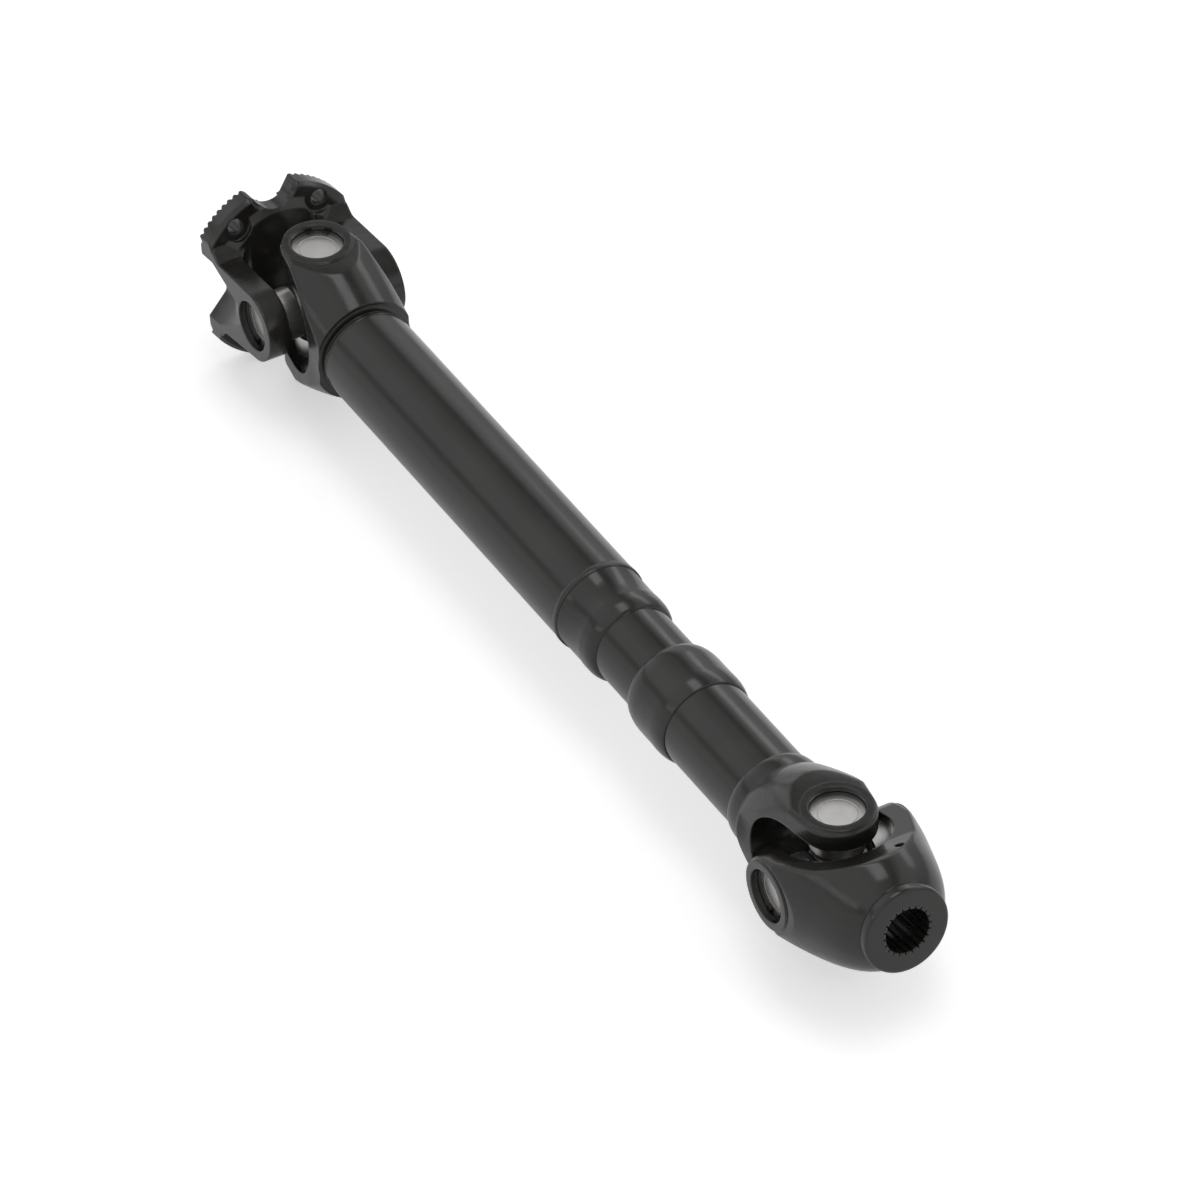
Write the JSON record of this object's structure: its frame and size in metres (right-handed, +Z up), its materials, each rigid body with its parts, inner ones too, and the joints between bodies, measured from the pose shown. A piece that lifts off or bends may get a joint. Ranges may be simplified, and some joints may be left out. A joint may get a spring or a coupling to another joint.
{
  "type": "cardan shaft",
  "caption": "Tubular cardan shaft with a universal joint at each end, a cross-toothed flange yoke, a splined sliding section for length and an end yoke with a splined hub.",
  "frame": {"origin": "centre of the flange's four bolt holes, on the plane of the tooth tips", "axes": "+X along the main tube, from the flange towards the splined hub; +Z up, along the pins that the tube yoke and the slip yoke hold; +Y along the pins of the flange yoke and the end yoke"},
  "size_m": [0.9604, 0.121, 0.1439],
  "materials": {
    "black_paint": "gloss black paint over forged, turned and drawn steel",
    "ground_steel": "hardened and ground steel",
    "bearing_steel": "bright turned bearing steel",
    "spring_steel": "black phosphated spring steel under the paint",
    "seal_rubber": "black oil-resistant rubber",
    "plated_steel": "zinc-plated steel"
  },
  "bodies": {
    "tube": {"tube_yoke": "black_paint", "main_tube": "black_paint", "spline_muff": "black_paint", "muff_plug": "plated_steel", "joint1_top_cup": "bearing_steel", "joint1_top_circlip": "spring_steel", "joint1_bottom_cup": "bearing_steel", "joint1_bottom_circlip": "spring_steel"},
    "cross_1": {"joint1_cross": "ground_steel", "joint1_grease_nipple": "plated_steel", "joint1_top_rollers": "ground_steel", "joint1_top_seal": "seal_rubber", "joint1_bottom_rollers": "ground_steel", "joint1_bottom_seal": "seal_rubber", "joint1_left_rollers": "ground_steel", "joint1_left_seal": "seal_rubber", "joint1_right_rollers": "ground_steel", "joint1_right_seal": "seal_rubber"},
    "flange": {"flange_yoke": "black_paint", "joint1_left_cup": "bearing_steel", "joint1_left_circlip": "spring_steel", "joint1_right_cup": "bearing_steel", "joint1_right_circlip": "spring_steel"},
    "slip": {"slip_yoke": "black_paint", "guard_tube": "black_paint", "seal_cap": "black_paint", "wiper_seal": "seal_rubber", "joint2_top_cup": "bearing_steel", "joint2_top_circlip": "spring_steel", "joint2_bottom_cup": "bearing_steel", "joint2_bottom_circlip": "spring_steel"},
    "cross_2": {"joint2_cross": "ground_steel", "joint2_grease_nipple": "plated_steel", "joint2_top_rollers": "ground_steel", "joint2_top_seal": "seal_rubber", "joint2_bottom_rollers": "ground_steel", "joint2_bottom_seal": "seal_rubber", "joint2_left_rollers": "ground_steel", "joint2_left_seal": "seal_rubber", "joint2_right_rollers": "ground_steel", "joint2_right_seal": "seal_rubber"},
    "end": {"end_yoke": "black_paint", "joint2_left_cup": "bearing_steel", "joint2_left_circlip": "spring_steel", "joint2_right_cup": "bearing_steel", "joint2_right_circlip": "spring_steel"}
  },
  "joints": [
    {"name": "joint_1_about_z", "type": "hinge", "parent": "tube", "child": "cross_1", "pos_m": [0.07694, 0, 0.01013], "axis": [0, 0, 1], "range_deg": [-18, 18]},
    {"name": "joint_1_about_y", "type": "hinge", "parent": "cross_1", "child": "flange", "pos_m": [0.07694, 0, 0.01013], "axis": [0, 1, 0], "range_deg": [-10.5, 25.5]},
    {"name": "spline_slide", "type": "slide", "parent": "tube", "child": "slip", "axis": [1, 0, 0], "range_m": [-0.045, 0.065]},
    {"name": "joint_2_about_z", "type": "hinge", "parent": "slip", "child": "cross_2", "pos_m": [0.85094, 0, 0.01013], "axis": [0, 0, 1], "range_deg": [-18, 18]},
    {"name": "joint_2_about_y", "type": "hinge", "parent": "cross_2", "child": "end", "pos_m": [0.85094, 0, 0.01013], "axis": [0, 1, 0], "range_deg": [-10.5, 25.5]}
  ]
}
